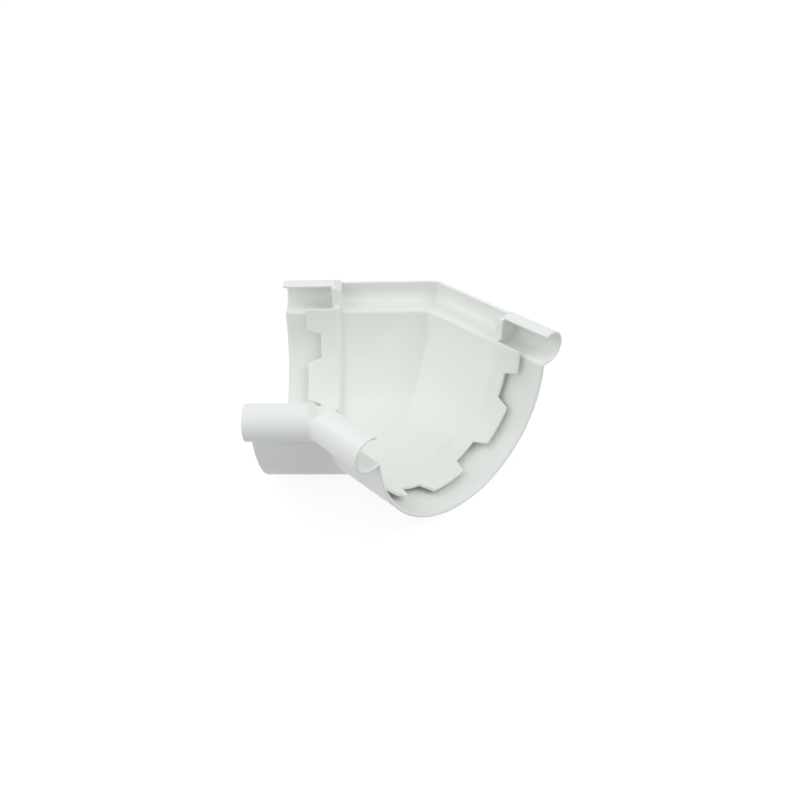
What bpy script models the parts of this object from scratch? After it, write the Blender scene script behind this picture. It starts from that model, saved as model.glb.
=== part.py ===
"""Gutter external angle, 135 degrees, for a half-round gutter with a rolled bead on both edges.

The moulding is two short arms of one section, mitred where they meet. One arm is modelled
along its own axis and mirrored across the mitre plane. The whole is then turned by half the bend
and lifted onto its belly, with the origin under the middle of its bounding box.

Along an arm, s runs outward from the mitre, t runs to the inside of the bend and z runs up.
The axis of the half-round is s itself, at t = 0 and z = 0.
"""

import math

import bmesh
import bpy
from mathutils import Matrix

MM = 0.001

# Bend
BEND = 45.0  # change of direction between the two gutters, in degrees
HALF_BEND = math.radians(BEND / 2)
WALL = 1.8  # general wall of the moulding

# Half-round skin
SKIN_OUT = 62.0  # outer radius
SKIN_MID = SKIN_OUT - WALL / 2
SKIN_IN = SKIN_OUT - WALL
SKIN_STEPS = 72  # chords in the half-round

# Bead hooks along both edges
HOOK_SET = 4.7  # centre of the hook, outward from the skin
HOOK_T = SKIN_OUT + HOOK_SET
HOOK_Z = 8.9  # centre of the hook, upward
HOOK_OUT = 9.6  # outer radius
HOOK_MID = HOOK_OUT - WALL / 2
HOOK_TIP = 118.0  # angle where the lip ends, from straight outward, over the top
HOOK_STEP = 7.5  # degrees per chord
FOLD = 1.3  # middle radius of the fold from the skin into the hook floor
FOLD_STEPS = 5

# Socket: the face that a gutter stops at, and the webs that close the hooks there
STOP_CLEAR = 8.9  # stop, past the point where the skins of the two arms meet inside the bend
STOP = round(SKIN_OUT * math.tan(HALF_BEND) + STOP_CLEAR, 1)
SOCKET = 30.4  # depth
ARM = STOP + SOCKET  # mitre centre to the mouth
LEAD_IN = 0.8  # chamfer inside the mouth
WEB = 5.4  # length of a web along the arm
WEB_BACK = STOP - WEB
WEB_SET = 0.15  # how far the front of a web sits back from the skin
EASE = 0.6  # easing of the top front edge of a web
EDGE_UP = 5.5  # the plain edge between the sockets ends this far above the centre of the hook
EDGE_TOP = HOOK_Z + EDGE_UP
EDGE_RISE = 4.2  # run of the slope from the plain edge up to the hooks

# Castellated tongue inside the socket
SLOT = 2.9  # room for the gutter wall between tongue and skin
TONGUE_OUT = SKIN_IN - SLOT
TONGUE_IN = TONGUE_OUT - WALL
TONGUE_MID = TONGUE_OUT - WALL / 2
TONGUE_TOP = 4.8  # height of the tongue's straight sides above the axis
TONGUE_BACK = 2.8  # full section behind the stop
TONGUE_ROOT = STOP - TONGUE_BACK
RAMP = 2.5  # run of the sloped step from the middle of the skin in to the tongue
TONGUE_LONG = 16.8  # full section in front of the stop
TOOTH_TIP = STOP + TONGUE_LONG
NOTCH_DEEP = 8.4
NOTCH_ROOT = TOOTH_TIP - NOTCH_DEEP
NOTCH_COUNT = 4
PITCH = 46.4  # degrees from one notch to the next
NOTCH_WIDE = 15.5  # degrees across the bottom of a notch
FLANK = 3.3  # degrees that each flank leans
CORNER = 0.9  # radius at the bottom corners of a notch

EDGE = HOOK_T + HOOK_OUT  # the outermost point, sideways
REACH = EDGE + 6.0
PAST_MITRE = REACH * math.tan(HALF_BEND) + 4.0


def clear_scene():
    for old in list(bpy.data.objects):
        bpy.data.objects.remove(old, do_unlink=True)


def new_collection(name):
    made = bpy.data.collections.new(name)
    bpy.context.scene.collection.children.link(made)
    return made


def arc(centre, radius, start, end, count):
    """count + 1 points on a circle, angles in degrees from the sideways axis."""
    angles = [math.radians(start + (end - start) * i / count) for i in range(count + 1)]
    return [(centre[0] + radius * math.cos(a), centre[1] + radius * math.sin(a)) for a in angles]


def two_faces(path, half):
    """The outer and inner face of a wall that follows a path, half its thickness on each side."""
    outer, inner = [], []
    for i, (t, z) in enumerate(path):
        steps = []
        for a, b in zip(path[max(i - 1, 0) : i + 1], path[max(i, 1) : i + 2]):
            length = math.dist(a, b)
            steps.append(((b[0] - a[0]) / length, (b[1] - a[1]) / length))
        # The mean of the two chord directions keeps the thickness at a bend.
        dt = sum(step[0] for step in steps) / len(steps)
        dz = sum(step[1] for step in steps) / len(steps)
        square = dt * dt + dz * dz
        nt, nz = -dz * half / square, dt * half / square
        outer.append((t + nt, z + nz))
        inner.append((t - nt, z - nz))
    return outer, inner


def add_faces(shape, outline):
    """An outline, as polygons of (s, y, z) points in millimetres."""
    corners = {}
    faces = []
    for polygon in outline:
        for point in polygon:
            if point not in corners:
                corners[point] = shape.verts.new([v * MM for v in point])
        faces.append(shape.faces.new([corners[point] for point in polygon]))
    return faces


def pull(shape, faces, move):
    """Extrudes faces along move and returns the far ones."""
    made = bmesh.ops.extrude_face_region(shape, geom=faces)["geom"]
    far = [v for v in made if isinstance(v, bmesh.types.BMVert)]
    bmesh.ops.translate(shape, verts=far, vec=[v * MM for v in move])
    return [f for f in made if isinstance(f, bmesh.types.BMFace)]


def pulled(outline, move):
    """The solid that an outline makes, pulled along move."""
    shape = bmesh.new()
    pull(shape, add_faces(shape, outline), move)
    return shape


def round_trough(profile, top):
    """A profile of (s, radius) points, led down one straight side from a height, half round the
    axis and up the other side."""
    shape = bmesh.new()
    faces = add_faces(shape, [[(s, -r, top) for s, r in profile]])
    end = pull(shape, faces, (0.0, 0.0, -top))
    bmesh.ops.delete(shape, geom=end, context="FACES_ONLY")
    rim = [e for e in shape.edges if all(abs(v.co.z) < 0.1 * MM for v in e.verts)]
    turned = bmesh.ops.spin(
        shape,
        geom=rim,
        cent=(0.0, 0.0, 0.0),
        axis=(1.0, 0.0, 0.0),
        angle=math.pi,
        steps=SKIN_STEPS,
    )
    last = [e for e in turned["geom_last"] if isinstance(e, bmesh.types.BMEdge)]
    made = bmesh.ops.extrude_edge_only(shape, edges=last)["geom"]
    far = [v for v in made if isinstance(v, bmesh.types.BMVert)]
    bmesh.ops.translate(shape, verts=far, vec=(0.0, 0.0, top * MM))
    bmesh.ops.contextual_create(shape, geom=[e for e in shape.edges if e.is_boundary])
    return shape


def placed(name, shape, collection, is_tool=True):
    # Faces that are meant to lie in one plane do so exactly once their points share a fine grid.
    for vert in shape.verts:
        vert.co = [round(v, 8) for v in vert.co]
    bmesh.ops.recalc_face_normals(shape, faces=shape.faces)
    mesh = bpy.data.meshes.new(name)
    shape.to_mesh(mesh)
    shape.free()
    made = bpy.data.objects.new(name, mesh)
    collection.objects.link(made)
    if is_tool:
        made.hide_render = True
        made.display_type = "WIRE"
    return made


def along(outline, start, end):
    """An outline across the arm, run along it."""
    across = [[(start, -t, z) for t, z in polygon] for polygon in outline]
    return pulled(across, (end - start, 0.0, 0.0))


def arm_section():
    """The section, run from beyond the mitre to the mouth, with a chamfer inside the mouth."""
    outer, inner = two_faces(section_path(), WALL / 2)
    shape = along(list(zip(outer, outer[1:], inner[1:], inner)), -PAST_MITRE, ARM)

    def on_inner_rim(vert):
        at = (-vert.co.y / MM, vert.co.z / MM)
        return vert.co.x > 0 and min(math.dist(at, point) for point in inner) < WALL / 100

    rim = [e for e in shape.edges if all(on_inner_rim(v) for v in e.verts)]
    bmesh.ops.bevel(
        shape,
        geom=rim,
        offset=LEAD_IN * MM,
        offset_type="OFFSET",
        segments=1,
        affect="EDGES",
        clamp_overlap=False,
    )
    return shape


def boolean(target, tool, operation):
    step = target.modifiers.new(tool.name, "BOOLEAN")
    step.operation = operation
    step.solver = "EXACT"
    step.object = tool


def hook_path():
    """Middle line of the hook on the side t > 0, from the tip of its lip down to the skin."""
    floor = HOOK_Z - HOOK_MID
    chords = round((HOOK_TIP + 90.0) / HOOK_STEP)
    path = arc((HOOK_T, HOOK_Z), HOOK_MID, HOOK_TIP, -90.0, chords)
    return path + arc((SKIN_MID + FOLD, floor - FOLD), FOLD, 90.0, 180.0, FOLD_STEPS)


def section_path():
    """Middle line of the section, from one lip round the half-round to the other."""
    side = hook_path()
    low = math.degrees(math.asin(-side[-1][1] / SKIN_MID))
    bowl = arc((0.0, 0.0), SKIN_MID, -low, -180.0 + low, SKIN_STEPS)
    return side + bowl[1:-1] + [(-t, z) for t, z in reversed(side)]


def web_outline(side):
    """The fill of one hook, from the middle of its wall to a front nearly flush with the skin."""
    floor = HOOK_Z - HOOK_MID
    front = SKIN_IN + WEB_SET
    top = HOOK_Z + (HOOK_OUT - WALL / 4) * math.sin(math.radians(HOOK_TIP))
    rim = arc((HOOK_T, HOOK_Z), HOOK_MID, HOOK_TIP - 12.0, -90.0, 24)
    rim += [(SKIN_MID + FOLD, floor), (SKIN_MID, floor - FOLD), (front, floor - FOLD - 0.2)]
    rim += [(front, top - EASE), (front + EASE, top)]
    return [[(side * t, z) for t, z in rim]]


def notch_outline():
    """Half widths of a notch along the arm: a round corner at its bottom, then a leaning flank."""
    bottom = TONGUE_MID * math.sin(math.radians(NOTCH_WIDE / 2))
    lean = TONGUE_MID * math.radians(FLANK) / (TOOTH_TIP - NOTCH_ROOT)
    turn = math.pi / 2 - math.atan(lean)
    middle = bottom - CORNER * math.tan(turn / 2)
    side = []
    for i in range(4):
        a = turn * i / 3
        side.append((NOTCH_ROOT + CORNER * (1 - math.cos(a)), middle + CORNER * math.sin(a)))
    beyond = TOOTH_TIP + 3.0
    side.append((beyond, bottom + lean * (beyond - NOTCH_ROOT)))
    return [(s, -w) for s, w in reversed(side)] + side


def notches():
    """The notch cutters, each pushed out through the tongue at its angle below the far edge."""
    shape = bmesh.new()
    low, high = TONGUE_IN - 6.0, TONGUE_OUT + SLOT / 2
    for index in range(NOTCH_COUNT):
        before = set(shape.verts)
        faces = add_faces(shape, [[(s, w, low) for s, w in notch_outline()]])
        pull(shape, faces, (0.0, 0.0, high - low))
        own = [v for v in shape.verts if v not in before]
        angle = 90.0 + PITCH * (index - (NOTCH_COUNT - 1) / 2)
        turn = Matrix.Rotation(-math.radians(90.0 + angle), 4, "X")
        bmesh.ops.transform(shape, matrix=turn, verts=own)
    return shape


def edge_trim():
    """Clears the lip between the sockets, and slopes up to the hooks at each web."""
    high = HOOK_Z + HOOK_OUT + 4.0
    slope = EDGE_RISE / (HOOK_Z + HOOK_OUT - EDGE_TOP)
    far = WEB_BACK + slope * (high - EDGE_TOP)
    sides = [(-PAST_MITRE - 5.0, EDGE_TOP), (WEB_BACK, EDGE_TOP), (far, high)]
    sides.append((-PAST_MITRE - 5.0, high))
    return pulled([[(s, -REACH, z) for s, z in sides]], (0.0, 2 * REACH, 0.0))


def plastic():
    made = bpy.data.materials.new("white_pvc")
    made.use_nodes = True
    shader = next(n for n in made.node_tree.nodes if n.type == "BSDF_PRINCIPLED")
    shader.inputs["Base Color"].default_value = (0.86, 0.87, 0.86, 1.0)
    shader.inputs["Roughness"].default_value = 0.3
    return made


def build():
    clear_scene()
    bpy.context.scene.unit_settings.system = "METRIC"
    bpy.context.scene.unit_settings.scale_length = 1.0
    shown = new_collection("gutter_external_angle")
    tools = new_collection("cutters")
    tools.hide_render = True

    # The section of one arm
    body = placed("gutter_angle", arm_section(), shown, is_tool=False)

    # Webs that close the hooks at the stop
    for side, label in ((1, "inside"), (-1, "outside")):
        web = placed(f"web_{label}", along(web_outline(side), WEB_BACK, STOP), tools)
        boolean(body, web, "UNION")

    # Plain edge between the sockets
    boolean(body, placed("edge_trim", edge_trim(), tools), "DIFFERENCE")

    # Tongue, with the wall at the bottom of its slot and the sloped step behind it, then notched
    back = TONGUE_ROOT - RAMP
    profile = [(back, SKIN_MID), (STOP, SKIN_MID), (STOP, TONGUE_OUT), (TOOTH_TIP, TONGUE_OUT)]
    profile += [(TOOTH_TIP, TONGUE_IN), (TONGUE_ROOT, TONGUE_IN)]
    tongue = placed("tongue", round_trough(profile, TONGUE_TOP), tools)
    boolean(tongue, placed("notches", notches(), tools), "DIFFERENCE")
    boolean(body, tongue, "UNION")

    # The other arm
    plane = bpy.data.objects.new("mitre_plane", None)
    plane.rotation_euler.z = HALF_BEND
    tools.objects.link(plane)
    mirror = body.modifiers.new("mitre", "MIRROR")
    mirror.mirror_object = plane
    mirror.use_axis = (True, False, False)
    mirror.use_bisect_axis = (True, False, False)
    mirror.merge_threshold = 0.00002
    mirror.bisect_threshold = 0.0000001

    # The mitre plane becomes x = 0, and the underside z = 0
    outside = EDGE / math.cos(HALF_BEND)
    inside = ARM * math.sin(HALF_BEND) + EDGE * math.cos(HALF_BEND)
    lift = Matrix.Translation((0.0, (inside - outside) / 2 * MM, SKIN_OUT * MM))
    place = lift @ Matrix.Rotation(-HALF_BEND, 4, "Z")
    for made in list(shown.objects) + list(tools.objects):
        made.matrix_world = place @ made.matrix_basis

    body.data.materials.append(plastic())


build()
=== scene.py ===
# %% [markdown]
# # A gutter external angle in white PVC
#
# This fitting carries a half-round gutter round a corner of 135 degrees. It is one injection
# moulding: two short arms that meet in a mitre, a hook along each edge for the rolled bead of the
# gutter, and inside each arm a castellated tongue that the end of the gutter slides behind.
#
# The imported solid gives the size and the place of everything. Its surfaces are flat facets with
# knife-sharp edges, which is right for fitting and for collision but not for a close look. So the
# lesson works out the same moulding again as smooth surfaces, with the small roundings that every
# moulded edge has, and then gives it its plastic, its light and its camera.

import math

import bmesh
import bpy
import numpy as np
from mathutils import Matrix, Vector


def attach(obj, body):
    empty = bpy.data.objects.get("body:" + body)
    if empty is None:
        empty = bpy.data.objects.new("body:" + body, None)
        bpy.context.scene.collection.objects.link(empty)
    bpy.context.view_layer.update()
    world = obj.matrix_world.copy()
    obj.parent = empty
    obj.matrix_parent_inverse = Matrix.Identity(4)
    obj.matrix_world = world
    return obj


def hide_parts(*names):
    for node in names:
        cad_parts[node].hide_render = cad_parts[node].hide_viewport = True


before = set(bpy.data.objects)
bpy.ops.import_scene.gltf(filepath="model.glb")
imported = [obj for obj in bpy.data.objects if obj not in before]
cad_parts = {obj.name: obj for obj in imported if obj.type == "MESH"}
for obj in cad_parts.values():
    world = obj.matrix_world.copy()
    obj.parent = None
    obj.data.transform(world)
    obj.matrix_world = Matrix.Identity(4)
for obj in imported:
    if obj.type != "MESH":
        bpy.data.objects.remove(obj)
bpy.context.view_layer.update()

# %% [markdown]
# ## Sizes of the moulding
#
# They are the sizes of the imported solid, in millimetres. Along an arm, s runs outward from the
# mitre, t runs to the inside of the bend and z runs up, and the axis of the half-round is s
# itself. Roundings come on top: a moulding tool is never sharp, and the thin line of light along
# an edge is what tells the eye that a thing is plastic and not paper.

# %% Sizes, in millimetres
HALF_BEND = math.radians(22.5)
LEAN = math.tan(HALF_BEND)  # run along the mitre for each millimetre across
CENTRE = (0.0, 6.38995, 62.0)  # where the axes of the two arms meet
WALL = 1.8
HALF = WALL / 2
SKIN_OUT = 62.0
SKIN = SKIN_OUT - HALF  # middle of the half-round wall
INNER = SKIN_OUT - WALL
HOOK_T, HOOK_Z = 66.7, 8.9  # centre of the hook
HOOK = 9.6 - HALF  # middle of the hook's wall
HOOK_TIP = 118.0  # angle where the lip ends, from straight outward, over the top
FOLD = 1.3  # radius, at the middle of the wall, of the fold from the skin to the hook's floor
STOP = 34.6  # the face that the gutter stops at
MOUTH = 65.0
WEB_BACK = STOP - 5.4
EDGE_TOP = 14.4  # the plain edge between the sockets
EDGE_RISE = 4.2  # run of the slope from there up to the hooks
SLOT = 2.9
TONGUE_OUT = INNER - SLOT
TONGUE_IN = TONGUE_OUT - WALL
TONGUE_MID = TONGUE_OUT - HALF
TONGUE_TOP = 4.8
TONGUE_ROOT = STOP - 2.8
TONGUE_RAMP = 2.5  # run of the slope behind the root
TOOTH_TIP = STOP + 16.8
NOTCH_ROOT = TOOTH_TIP - 8.4
NOTCH_ANGLES = (20.4, 66.8, 113.2, 159.6)
NOTCH_WIDE = 15.5  # degrees across the root of a notch
FLANK = 3.3  # degrees that each flank leans

# %% [markdown]
# ## From arm to object
#
# Each arm is drawn along its own axis, because every size of the section is simple there. Then
# one turn and one shift bring it to its place. The mitre plane is x = 0, so the other arm is the
# same points with x turned round.


# %% Helpers for surfaces
def to_object(points):
    """Arm (s, t, z) to object: x = s cos a - t sin a, y = -s sin a - t cos a, in metres."""
    s, t, z = np.moveaxis(np.asarray(points, float), -1, 0)
    x = s * math.cos(HALF_BEND) - t * math.sin(HALF_BEND)
    y = -s * math.sin(HALF_BEND) - t * math.cos(HALF_BEND)
    return (np.stack([x, y, z], axis=-1) + CENTRE) * 0.001


def turn(start, end, count):
    """count angles in radians, from start to end, both in degrees."""
    return np.radians(np.linspace(start, end, count))


def grid_faces(rows, columns):
    """Quads of a grid that is round in its second direction: point (i, j) has number
    i * columns + j, and the column after the last is the first."""
    i, j = np.meshgrid(np.arange(rows - 1), np.arange(columns), indexing="ij")
    k = (j + 1) % columns
    low, high = i * columns, (i + 1) * columns
    return np.stack([low + j, low + k, high + k, high + j]).reshape(4, -1).T


def make_piece(name, points, faces, caps=()):
    """A mesh object from points in metres, quads, and the rings that close its ends."""
    mesh = bpy.data.meshes.new(name)
    mesh.from_pydata(points.reshape(-1, 3).tolist(), [], faces.tolist() + [list(c) for c in caps])
    piece = bpy.data.objects.new(name, mesh)
    bpy.context.scene.collection.objects.link(piece)
    shape = bmesh.new()
    shape.from_mesh(mesh)
    bmesh.ops.recalc_face_normals(shape, faces=shape.faces)
    shape.to_mesh(mesh)
    shape.free()
    return piece


def closed_tube(name, points):
    """A grid that is round in its second direction, closed by a face at each end."""
    rows, columns = points.shape[:2]
    ring = np.arange(columns)
    caps = (ring, (rows - 1) * columns + ring)
    return make_piece(name, points, grid_faces(rows, columns), caps)


# %% [markdown]
# ## The section
#
# Seen from its open end, the wall is one line of even thickness: over the hook, down its round
# back, in along the hook's floor, round a small fold and down into the half-round, and the same
# again on the other side. The line is given as points with the direction that faces outward, so
# both faces of the wall are simply the line moved by half a wall each way. The two free edges
# shrink over their last half millimetre, which rounds the lip.

# %% Middle line of the wall
LIP_ROUND = 0.5
HOOK_FLOOR = HOOK_Z - HOOK


def section_line():
    """Points, outward directions and half thicknesses along the line, from lip to lip.

    A hook is a circle round (HOOK_T, HOOK_Z). The floor is straight, the fold is a quarter circle
    and the bowl is a circle round the axis.
    """
    eased = np.linspace(0.0, math.pi / 2, 6)
    from_tip = LIP_ROUND * (1 - np.cos(eased))
    hook = np.concatenate([math.radians(HOOK_TIP) - from_tip[:-1] / HOOK, turn(HOOK_TIP - 4.0, -90.0, 52)])
    hook_out = np.stack([np.cos(hook), np.sin(hook)], axis=1)
    hook_at = (HOOK_T, HOOK_Z) + HOOK * hook_out

    floor_t = np.linspace(HOOK_T, SKIN + FOLD, 5)[1:-1]
    floor_at = np.stack([floor_t, np.full(3, HOOK_FLOOR)], axis=1)
    floor_out = np.tile((0.0, -1.0), (3, 1))

    fold = turn(90.0, 178.0, 10)
    fold_out = -np.stack([np.cos(fold), np.sin(fold)], axis=1)
    fold_at = (SKIN + FOLD, HOOK_FLOOR - FOLD) - FOLD * fold_out

    low = math.degrees(math.asin((FOLD - HOOK_FLOOR) / SKIN))
    bowl = turn(-low - 0.4, -90.0, 72)
    bowl_out = np.stack([np.cos(bowl), np.sin(bowl)], axis=1)

    at = np.concatenate([hook_at, floor_at, fold_at, SKIN * bowl_out])
    out = np.concatenate([hook_out, floor_out, fold_out, bowl_out])
    half = np.full(len(at), HALF)
    half[: len(eased)] += LIP_ROUND * (np.sin(eased) - 1)
    flip = (-1.0, 1.0)
    at = np.concatenate([at, at[-2::-1] * flip])
    out = np.concatenate([out, out[-2::-1] * flip])
    return at, out, np.concatenate([half, half[-2::-1]])


line_at, line_out, line_half = section_line()
length = np.linalg.norm(np.diff(line_at, axis=0), axis=1).sum()
print(f"section: {len(line_at)} points, {length:.0f} mm of wall from lip to lip")

# %% [markdown]
# ## Skin and hooks of one arm
#
# The line is carried along the arm, and the arm's own long section is what gives the mouth its
# form: straight along the outer face, round a small corner, across the end face, down a lead-in
# that guides the gutter in, and back along the inner face. So one closed loop of (thickness, s)
# points, repeated at each point of the line, makes the whole sheet. The sheet starts a little
# beyond the mitre, each point at its own distance, and gets closer rows there, because the turn
# is going to be softened.

# %% Sheet of the arm
MOUTH_ROUND = 0.35
LEAD_IN = [(0.10, 0.0), (-0.02, -0.03), (-0.12, -0.1), (-0.83, -0.72), (-0.95, -0.86), (-1.0, -1.05)]
MOUTH_LONG = 1.2  # the length that the mouth's own points take
NEAR_MITRE = np.array([-3.0, 0.0, 0.2, 0.45, 0.75, 1.1, 1.6, 2.3, 3.2, 4.5, 6.0])


def mouth_loop():
    """(share of half the wall, s - MOUTH) round the mouth, from the outer face to the inner: a
    quarter circle of MOUTH_ROUND, then the points of the lead-in."""
    corner = turn(0.0, 90.0, 5)
    share = 1 - (MOUTH_ROUND / HALF) * (1 - np.cos(corner))
    return np.concatenate([np.stack([share, -MOUTH_ROUND * (1 - np.sin(corner))], axis=1), LEAD_IN])


def arm_sheet():
    """Sheet point (i, j): line point i moved by its half thickness times the loop's share j along
    its outward direction, at the s of loop point j. Near the mitre s is counted from the mitre
    line s = t tan a; further out it goes evenly to the mouth."""
    even = np.linspace(0.0, 1.0, 7)[1:]
    mouth = mouth_loop()
    straight = np.ones(len(NEAR_MITRE) + len(even))
    share = np.concatenate([straight, mouth[:, 0], -straight])
    across = line_at[:, None, :] + (line_half[:, None] * share)[..., None] * line_out[:, None, :]

    def rows(t):
        """s of the straight rows of one face, whose points lie at these t."""
        mitre = t[:, None] * LEAN
        start = mitre + NEAR_MITRE[-1]
        return np.concatenate([mitre + NEAR_MITRE, start + (MOUTH - MOUTH_LONG - start) * even], axis=1)

    at_mouth = np.tile(MOUTH + mouth[:, 1], (len(line_at), 1))
    s = np.concatenate([rows(across[:, 0, 0]), at_mouth, rows(across[:, -1, 0])[:, ::-1]], axis=1)
    return np.concatenate([s[..., None], across], axis=-1)


sheet = closed_tube("sheet", to_object(arm_sheet()))
print("sheet:", len(sheet.data.polygons), "faces")

# %% [markdown]
# ## Webs
#
# Where the gutter stops, each hook is filled by a short web, so that water can't run out through
# it. A web is the hook's own outline, from the middle of its wall to a front that lies just
# behind the skin, with a small easing on its top front edge. On the outside of the bend it runs
# along the arm for 5.4 mm. On the inside the two arms come so close that no gap shows between
# their webs, so there they run on to the mitre and are one block.

# %% Webs in the hooks
WEB_FRONT = INNER + 0.15
WEB_EASE = 0.6
WEB_TOP = HOOK_Z + (HOOK + HALF / 2) * math.sin(math.radians(HOOK_TIP))
PAST_MITRE = 1.0  # how far beyond the mitre the inside web starts


def web(name, side, back):
    """The outline as (t, z) points, at the back of the web and at its front."""
    rim = turn(HOOK_TIP - 12.0, -90.0, 40)
    around = np.stack([HOOK_T + HOOK * np.cos(rim), HOOK_Z + HOOK * np.sin(rim)], axis=1)
    fold = HOOK_FLOOR - FOLD
    lower = [(SKIN + FOLD, HOOK_FLOOR), (SKIN, fold), (WEB_FRONT, fold - 0.2)]
    ease = turn(180.0, 90.0, 6)
    corner = (WEB_FRONT + WEB_EASE, WEB_TOP - WEB_EASE)
    corner = corner + WEB_EASE * np.stack([np.cos(ease), np.sin(ease)], axis=1)
    outline = np.concatenate([around, lower, corner])
    points = np.empty((2, len(outline), 3))
    points[..., 0] = np.array([back, STOP])[:, None]
    points[..., 1] = side * outline[:, 0]
    points[..., 2] = outline[:, 1]
    return closed_tube(name, to_object(points))


webs = [web("web_inside", 1, INNER * LEAN - PAST_MITRE), web("web_outside", -1, WEB_BACK)]
print("webs:", [len(piece.data.polygons) for piece in webs], "faces")

# %% [markdown]
# ## Castellated tongue
#
# The tongue is a second, smaller half-round inside the socket. The gutter's end slides into the
# slot between it and the skin, and its teeth and notches give the wall some spring. In the
# flat, its free edge is a line of battlements. That line is a function of the angle alone, so
# the tongue is one surface again: at each angle, a loop of (radius, s) points that ends where
# the battlement line says. The flanks of the notches lean a little, which keeps the angle
# moving along them, and their corners are small arcs.

# %% Battlement line
NOTCH_CORNER = 0.9
TOOTH_CORNER = 0.5


def notch_line():
    """(distance along the arc from the notch's middle, s) from tooth to tooth: level at the root,
    with leaning flanks and a circle of NOTCH_CORNER at the root and TOOTH_CORNER at the tip."""
    lean = TONGUE_MID * math.radians(FLANK) / (TOOTH_TIP - NOTCH_ROOT)
    bend = math.pi / 2 - math.atan(lean)
    bottom = TONGUE_MID * math.sin(math.radians(NOTCH_WIDE / 2))
    top = bottom + lean * (TOOTH_TIP - NOTCH_ROOT)
    a = np.linspace(0.0, bend, 7)
    low_w = bottom - NOTCH_CORNER * math.tan(bend / 2) + NOTCH_CORNER * np.sin(a)
    low_s = NOTCH_ROOT + NOTCH_CORNER * (1 - np.cos(a))
    high_w = top + TOOTH_CORNER * math.tan(bend / 2) - TOOTH_CORNER * np.sin(a[::-1])
    high_s = TOOTH_TIP - TOOTH_CORNER * (1 - np.cos(a[::-1]))
    flank_w = np.linspace(low_w[-1], high_w[0], 6)[1:-1]
    flank_s = np.linspace(low_s[-1], high_s[0], 6)[1:-1]
    w = np.concatenate([np.linspace(0.0, low_w[0], 5)[:-1], low_w, flank_w, high_w])
    s = np.concatenate([np.full(4, NOTCH_ROOT), low_s, flank_s, high_s])
    return np.concatenate([-w[::-1], w[1:]]), np.concatenate([s[::-1], s[1:]])


def battlement():
    """(distance along the arc from the bottom, s) of the free edge, from one side of the bowl to
    the other: level at the tooth tips, with a notch line at each of NOTCH_ANGLES. On the inside
    of the bend the last notch runs on to the tongue's top."""
    notch_w, notch_s = notch_line()
    middles = TONGUE_MID * (np.radians(NOTCH_ANGLES) - math.pi / 2)
    plain = TONGUE_MID * np.linspace(-math.pi / 2, math.pi / 2, 145)
    plain = plain[np.abs(plain[:, None] - middles).min(axis=1) > notch_w[-1] + 0.3]
    edge = np.concatenate([plain, (middles[:, None] + notch_w).reshape(-1)])
    s = np.concatenate([np.full(len(plain), TOOTH_TIP), np.tile(notch_s, len(middles))])
    s = np.where(edge > middles[-1], NOTCH_ROOT, s)
    order = np.argsort(edge)
    return edge[order], s[order]


edge_arc, edge_s = battlement()
deep = TOOTH_TIP - NOTCH_ROOT
print(f"battlement: {len(edge_arc)} points, {len(NOTCH_ANGLES)} notches {deep:.1f} mm deep")

# %% Tongue
TONGUE_ROUND = 0.4


def tongue_loop():
    """(radius, s, shift along the arc) of the tongue's loop at every point of its free edge.

    From its root, hidden in the skin, the loop runs along the stop and the outer face to the free
    edge, round it, and back along the inner face. Round the edge, a point that is set back by d
    moves square to the battlement line: ahead by d / hypot(1, slope), and the rest sideways.
    """
    a = turn(0.0, 90.0, 5)
    r = TONGUE_ROUND
    tip_out = np.stack([TONGUE_OUT - r * (1 - np.cos(a)), -r * (1 - np.sin(a))], axis=1)
    tip_in = np.stack([TONGUE_IN + r * (1 - np.sin(a)), -r * (1 - np.cos(a))], axis=1)
    tip = np.concatenate([tip_out, tip_in])
    back = TONGUE_ROOT - TONGUE_RAMP
    foot = 0.3  # the small corner between the stop and the outer face
    root_out = np.array([(SKIN, back), (SKIN, STOP), (TONGUE_OUT + foot, STOP), (TONGUE_OUT, STOP + foot)])
    root_in = np.array([(TONGUE_IN, TONGUE_ROOT + 0.5), (TONGUE_IN + 0.15, TONGUE_ROOT + 0.05)])
    faces = np.full(3, TONGUE_OUT), np.full(3, TONGUE_IN)
    radius = np.concatenate([root_out[:, 0], faces[0], tip[:, 0], faces[1], root_in[:, 0]])

    slope = np.gradient(edge_s, edge_arc)[:, None]
    square = np.hypot(1.0, slope)
    end = edge_s[:, None]
    rows = np.ones_like(end)
    body = np.linspace(0.0, 1.0, 5)[1:-1]
    near = end - 2 * TONGUE_ROUND  # where the straight part of each face ends
    going = root_out[-1, 1] + (near - root_out[-1, 1]) * body
    coming = near + (root_in[0, 1] - near) * body
    s = [rows * root_out[:, 1], going, end + tip[:, 1] / square, coming, rows * root_in[:, 1]]
    shift = np.zeros((len(edge_s), len(radius)))
    first = len(root_out) + len(body)
    shift[:, first : first + len(tip)] = -tip[:, 1] * slope / square
    return radius, np.concatenate(s, axis=1), shift


def raised(end, heights, draw_in):
    """The loop at one end of the arc, again at each height, its wall thinner by draw_in."""
    up = np.repeat(end[None], len(heights), axis=0)
    side = np.sign(end[-1, 1])
    from_middle = side * up[..., 1] - TONGUE_MID
    in_wall = np.abs(from_middle) <= HALF + 1e-9
    room = (HALF - draw_in)[:, None]
    up[..., 1] = np.where(in_wall, side * (TONGUE_MID + np.clip(from_middle, -room, room)), up[..., 1])
    up[..., 0] = np.minimum(up[..., 0], end[:, 0].max() - draw_in[:, None])
    up[..., 2] = heights[:, None]
    return up


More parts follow.
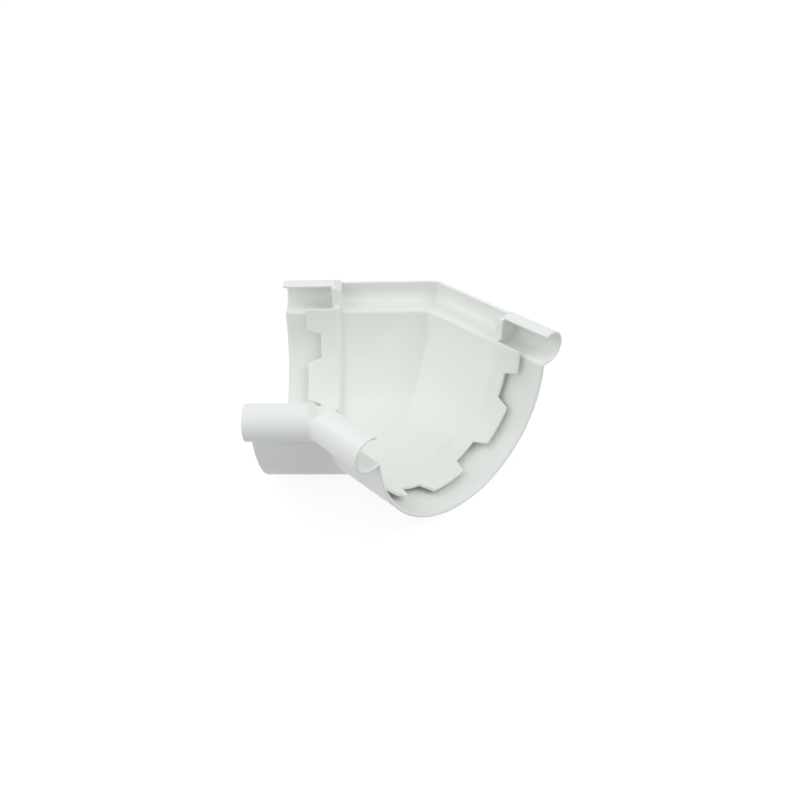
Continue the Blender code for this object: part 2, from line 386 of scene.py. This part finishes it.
def tongue():
    """Tongue point (i, j): the direction of arc i, at radius j of the loop and at its s. Above the
    axis the same loop goes straight up to the tongue's top, where it draws in to round the edge."""
    radius, s, shift = tongue_loop()
    angle = (edge_arc[:, None] + shift) / TONGUE_MID
    points = np.stack([s, radius * np.sin(angle), -radius * np.cos(angle)], axis=-1)
    a = turn(0.0, 90.0, 5)
    eased = TONGUE_TOP - TONGUE_ROUND * (1 - np.sin(a))
    heights = np.concatenate([[eased[0] / 2], eased])
    draw_in = np.concatenate([[0.0], TONGUE_ROUND * (1 - np.cos(a))])
    first = raised(points[0], heights, draw_in)[::-1]
    last = raised(points[-1], heights, draw_in)
    return closed_tube("tongue", to_object(np.concatenate([first, points, last])))


teeth = tongue()
print("tongue:", len(teeth.data.polygons), "faces")

# %% [markdown]
# ## One body
#
# The sheet, the webs and the tongue are joined to one skin, and the lip between the two sockets
# is cut away down to a plain edge, with a slope at each web. Joining and cutting whole closed
# shapes is what Boolean modifiers do, and it leaves no faces inside. What lies beyond the mitre
# is cut off, the other arm is the mirror image, and the two are welded where they meet.


# %% Join and trim
def combine(base, steps):
    """base after the Boolean steps, as a mesh of its own. The other shapes are removed."""
    for tool, operation in steps:
        step = base.modifiers.new(tool.name, "BOOLEAN")
        step.operation = operation
        step.solver = "MANIFOLD"
        step.object = tool
    graph = bpy.context.evaluated_depsgraph_get()
    mesh = bpy.data.meshes.new_from_object(base.evaluated_get(graph))
    for used in [base] + [tool for tool, _ in steps]:
        bpy.data.objects.remove(used, do_unlink=True)
    return mesh


def edge_trim():
    """The space over the plain edge: (s, z) corners with the slope at the web, run across."""
    hook_top = HOOK_Z + HOOK + HALF
    slope = EDGE_RISE / (hook_top - EDGE_TOP)
    high, past, wide = hook_top + 5.1, -60.0, 85.0  # well clear of the arm on every side
    top_s = WEB_BACK + slope * (high - EDGE_TOP)
    side = [(past, EDGE_TOP), (WEB_BACK, EDGE_TOP), (top_s, high), (past, high)]
    points = np.array([[(s, t, z) for s, z in side] for t in (-wide, wide)])
    return closed_tube("edge_trim", to_object(points))


steps = [(piece, "UNION") for piece in webs] + [(edge_trim(), "DIFFERENCE"), (teeth, "UNION")]
joined = combine(sheet, steps)
print("one arm:", len(joined.polygons), "faces")


# %% Mirror
def everything(shape):
    """All points, edges and faces of a shape."""
    return list(shape.verts) + list(shape.edges) + list(shape.faces)


ON_PLANE = 1e-7  # metres within which a point counts as on the mitre
shape = bmesh.new()
shape.from_mesh(joined)
bmesh.ops.bisect_plane(
    shape,
    geom=everything(shape),
    dist=ON_PLANE,
    plane_co=(0, 0, 0),
    plane_no=(1, 0, 0),
    clear_inner=True,
)
for vert in shape.verts:
    if abs(vert.co.x) < 2 * ON_PLANE:
        vert.co.x = 0.0
bmesh.ops.mirror(shape, geom=everything(shape), axis="X", merge_dist=ON_PLANE)
bmesh.ops.recalc_face_normals(shape, faces=shape.faces)
open_edges = sum(len(edge.link_faces) != 2 for edge in shape.edges)
shape.to_mesh(joined)
shape.free()
print("moulding:", len(joined.polygons), "faces,", open_edges, "open edges")

# %% [markdown]
# ## A soft mitre
#
# The two arms don't meet in a knife edge: the wall turns within a few millimetres. In the
# object's frame every line of the section runs along y = y0 - |x| tan a, so putting
# sqrt(x x + e e) in the place of |x| rounds all of these lines at once, by the same small e, and
# leaves everything further out where it was.

# %% Soften the mitre and show the moulding
EASE_MITRE = 0.0012  # e, in metres
SHARP = math.radians(32.0)  # edges that turn by more stay sharp in the shading

points = np.empty(len(joined.vertices) * 3)
joined.vertices.foreach_get("co", points)
points = points.reshape(-1, 3)
points[:, 1] -= LEAN * (np.hypot(points[:, 0], EASE_MITRE) - np.abs(points[:, 0]))
joined.vertices.foreach_set("co", points.reshape(-1))
joined.polygons.foreach_set("use_smooth", np.ones(len(joined.polygons), bool))
joined.set_sharp_from_angle(angle=SHARP)
joined.update()

moulding = bpy.data.objects.new("moulding", joined)
bpy.context.scene.collection.objects.link(moulding)
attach(moulding, "root")
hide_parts("gutter_angle")
print("size in mm:", np.round(np.ptp(points, axis=0) * 1000, 1))

# %% [markdown]
# ## Shader maths as expressions
#
# A material is a small program over the surface. Wrapping a socket in a class with the usual
# operators lets it be written like one: `0.3 + 0.05 * grain` adds its Math nodes by itself.


# %% Sockets as values
class Value:
    """A socket that takes part in Python expressions, with other sockets and with numbers."""

    def __init__(self, tree, socket):
        self.tree, self.socket = tree, socket

    def node(self, kind, settings=None, **inputs):
        """A new node of a type, with its settings first and then its sockets: by name, with _ for
        a space, or by number, as n0."""
        made = self.tree.nodes.new(kind)
        for name, value in (settings or {}).items():
            setattr(made, name, value)
        for name, value in inputs.items():
            numbered = name[0] == "n" and name[1:].isdigit()
            socket = made.inputs[int(name[1:]) if numbered else name.replace("_", " ")]
            if isinstance(value, Value):
                self.tree.links.new(value.socket, socket)
            else:
                socket.default_value = value
        return made

    def out(self, kind, settings=None, output=0, **inputs):
        """One output of a new node, as a Value."""
        return Value(self.tree, self.node(kind, settings, **inputs).outputs[output])

    def __add__(self, other):
        return self.out("ShaderNodeMath", {"operation": "ADD"}, n0=self, n1=other)

    def __mul__(self, other):
        return self.out("ShaderNodeMath", {"operation": "MULTIPLY"}, n0=self, n1=other)

    __radd__, __rmul__ = __add__, __mul__

    def between(self, first, second):
        """The colour that lies this share of the way from first to second."""
        colours = {"n6": (*first, 1.0), "n7": (*second, 1.0)}
        return self.out("ShaderNodeMix", {"data_type": "RGBA"}, output=2, Factor=self, **colours)

    def noise(self, scale, detail, roughness=0.5, distortion=0.0):
        """Noise over these coordinates: scale in waves a metre, detail in octaves."""
        grain = {"Scale": scale, "Detail": detail, "Roughness": roughness, "Distortion": distortion}
        return self.out("ShaderNodeTexNoise", Vector=self, **grain)

    def surface(self, kind="ShaderNodeOutputMaterial"):
        """Makes this shader the surface of its material or world."""
        self.node(kind, Surface=self)


def new_material(name):
    """An empty material and its object coordinates."""
    made = bpy.data.materials.new(name)
    made.use_nodes = True
    made.node_tree.nodes.clear()
    return made, Value(made.node_tree, None).out("ShaderNodeTexCoord", output="Object")


# %% [markdown]
# ## White PVC
#
# Rigid PVC for gutters is a dense, slightly cool white with a satin gloss. Up close it isn't one
# flat value. The melt leaves broad, faint flow marks in the gloss, the tool leaves a fine grain,
# and the wall draws in by a few thousandths of a millimetre where it cooled last. All of that is
# far weaker than the eye expects: the colour varies by about one part in a hundred, and the
# relief is about a hundredth of a millimetre. A little light also travels under the surface,
# which lifts the shadows in the slots.

# %% Plastic
DULL_WHITE = (0.848, 0.880, 0.845)
CLEAR_WHITE = (0.892, 0.921, 0.889)
UNDER_SURFACE = 0.0016  # how far light travels under the surface, in metres


def white_pvc():
    """Colour, gloss and relief, each a weighted sum of the same four grains of noise."""
    made, place = new_material("white_pvc")
    broad = place.noise(22.0, 2.0, 0.45)
    flow = place.noise(60.0, 3.0, 0.55, 1.6)
    grain = place.noise(2600.0, 2.0, 0.6)
    pores = place.noise(420.0, 4.0, 0.62)
    tone = 0.55 * broad + 0.3 * flow + 0.15 * pores
    relief = 0.010 * broad + 0.0035 * flow + 0.0006 * pores + 0.00022 * grain  # in millimetres
    shader = place.out(
        "ShaderNodeBsdfPrincipled",
        Base_Color=tone.between(DULL_WHITE, CLEAR_WHITE),
        Roughness=0.21 + 0.10 * flow + 0.05 * pores + 0.05 * broad,
        Normal=place.out("ShaderNodeBump", Strength=1.0, Distance=0.001, Height=relief),
        IOR=1.53,
        Subsurface_Weight=0.20,
        Subsurface_Scale=UNDER_SURFACE,
        Subsurface_Radius=(1.0, 1.0, 1.0),
    )
    shader.surface()
    return made


joined.materials.clear()
joined.materials.append(white_pvc())
print("plastic nodes:", len(joined.materials[0].node_tree.nodes))

# %% [markdown]
# ## Floor and background
#
# What the floor throws back decides how dark the belly of the moulding is, so for the light it is
# a mid grey. To the camera, and in reflections, half of it is replaced by plain white, so that
# the picture has a white ground but keeps a trace of the shadow, and no extra light falls on the
# plastic. The white half is stronger than 1, because the grey half adds little: the two together
# come to about 1, which is white.

# %% Floor
FLOOR_GREY = (0.39, 0.41)
FLOOR_SHARE = 0.55  # how much of the floor is plain white to the camera
FLOOR_WHITE = 1.60
FLOOR_SIDE = 6.0


def seen_rays(value):
    """1 for the rays that show a background: those of the camera, of reflection and of glass."""
    path = value.node("ShaderNodeLightPath")
    kinds = ("Is Camera Ray", "Is Glossy Ray", "Is Transmission Ray")
    camera, glossy, glass = (Value(value.tree, path.outputs[kind]) for kind in kinds)
    return camera + glossy + glass


def pale_floor():
    """Grey and matt for the light, and partly plain white for the rays that show a background."""
    made, place = new_material("floor")
    low, high = ((grey,) * 3 for grey in FLOOR_GREY)
    colour = place.noise(6.0, 2.0).between(low, high)
    matt = place.out("ShaderNodeBsdfPrincipled", Base_Color=colour, Roughness=0.9)
    white = place.out("ShaderNodeEmission", Color=(1.0, 1.0, 1.0, 1.0), Strength=FLOOR_WHITE)
    seen = seen_rays(place) * FLOOR_SHARE
    place.out("ShaderNodeMixShader", n0=seen, n1=matt, n2=white).surface()
    return made


corners = FLOOR_SIDE * np.array([(-1.0, -1.0, 0.0), (1.0, -1.0, 0.0), (1.0, 1.0, 0.0), (-1.0, 1.0, 0.0)])
floor = make_piece("floor", corners, np.array([(0, 1, 2, 3)]))
floor.data.materials.append(pale_floor())
print("floor:", 2 * FLOOR_SIDE, "m square")

# %% [markdown]
# ## Light
#
# A white object on white shows its form only through small steps of tone. The trough is light and
# even, the belly that faces the floor is clearly darker, and the ends of both arms lie in
# between. That is light from all round plus three broad lamps: one to the right that looks into
# the trough, one in front and to the left that models the near hooks, and one high on the left.
# A small lamp overhead only draws the narrow highlights along the hooks. The world is plain white
# to the camera and in reflections, as the floor is, and lights the object a little less.

# %% World and lamps
AMBIENT = 0.618
AIM = Vector((0.0, 0.0, 0.05))
AWAY = 0.9  # metres from each lamp to where it looks

world = bpy.data.worlds.new("studio")
world.use_nodes = True
world.node_tree.nodes.clear()
air = Value(world.node_tree, None)
ambient = air.out("ShaderNodeBackground", Color=(1.0, 1.0, 1.0, 1.0), Strength=AMBIENT)
white = air.out("ShaderNodeBackground", Color=(1.0, 1.0, 1.0, 1.0), Strength=1.0)
mixed = air.out("ShaderNodeMixShader", n0=seen_rays(air), n1=ambient, n2=white)
mixed.surface("ShaderNodeOutputWorld")
bpy.context.scene.world = world


def softbox(name, azimuth, height, size, power):
    """A square lamp that looks at the middle of the moulding: degrees from +X toward +Y, degrees
    above the floor, metres across, and watts."""
    a, h = math.radians(azimuth), math.radians(height)
    back = Vector((math.cos(h) * math.cos(a), math.cos(h) * math.sin(a), math.sin(h)))
    data = bpy.data.lights.new(name, "AREA")
    data.size, data.energy = size, power
    lamp = bpy.data.objects.new(name, data)
    bpy.context.scene.collection.objects.link(lamp)
    facing = back.to_track_quat("Z", "Y").to_matrix().to_4x4()
    lamp.matrix_world = Matrix.Translation(AIM + AWAY * back) @ facing


softbox("right", 12.0, 44.0, 0.45, 1.53)
softbox("front_left", 242.0, 26.0, 0.40, 1.2)
softbox("high_left", 188.0, 42.0, 0.55, 1.08)
softbox("overhead", 285.0, 82.0, 0.20, 0.30)
print("lamps:", {lamp.name: round(lamp.energy, 2) for lamp in bpy.data.lights})

# %% [markdown]
# ## Camera
#
# The place, the turn and the lens come from fitting a camera to the edges of both arms in the
# photograph. The small shift puts the moulding where it sits in the frame there.

# %% Camera
camera_data = bpy.data.cameras.new("camera")
camera = bpy.data.objects.new("camera", camera_data)
bpy.context.scene.collection.objects.link(camera)
camera.location = (0.1730836, -0.3370957, 0.3065870)  # metres
camera.rotation_euler = (0.9579, 0.0322, 0.4279)  # radians
camera_data.sensor_width = 36.0  # millimetres, as the lens is
camera_data.lens = 36.304
camera_data.shift_x = 0.004655
camera_data.shift_y = 0.00083
camera_data.clip_start = 0.01
bpy.context.scene.camera = camera
bpy.context.scene.view_settings.view_transform = "Standard"
print(f"camera: {camera.location.length:.3f} m away, lens {camera_data.lens:.1f} mm")
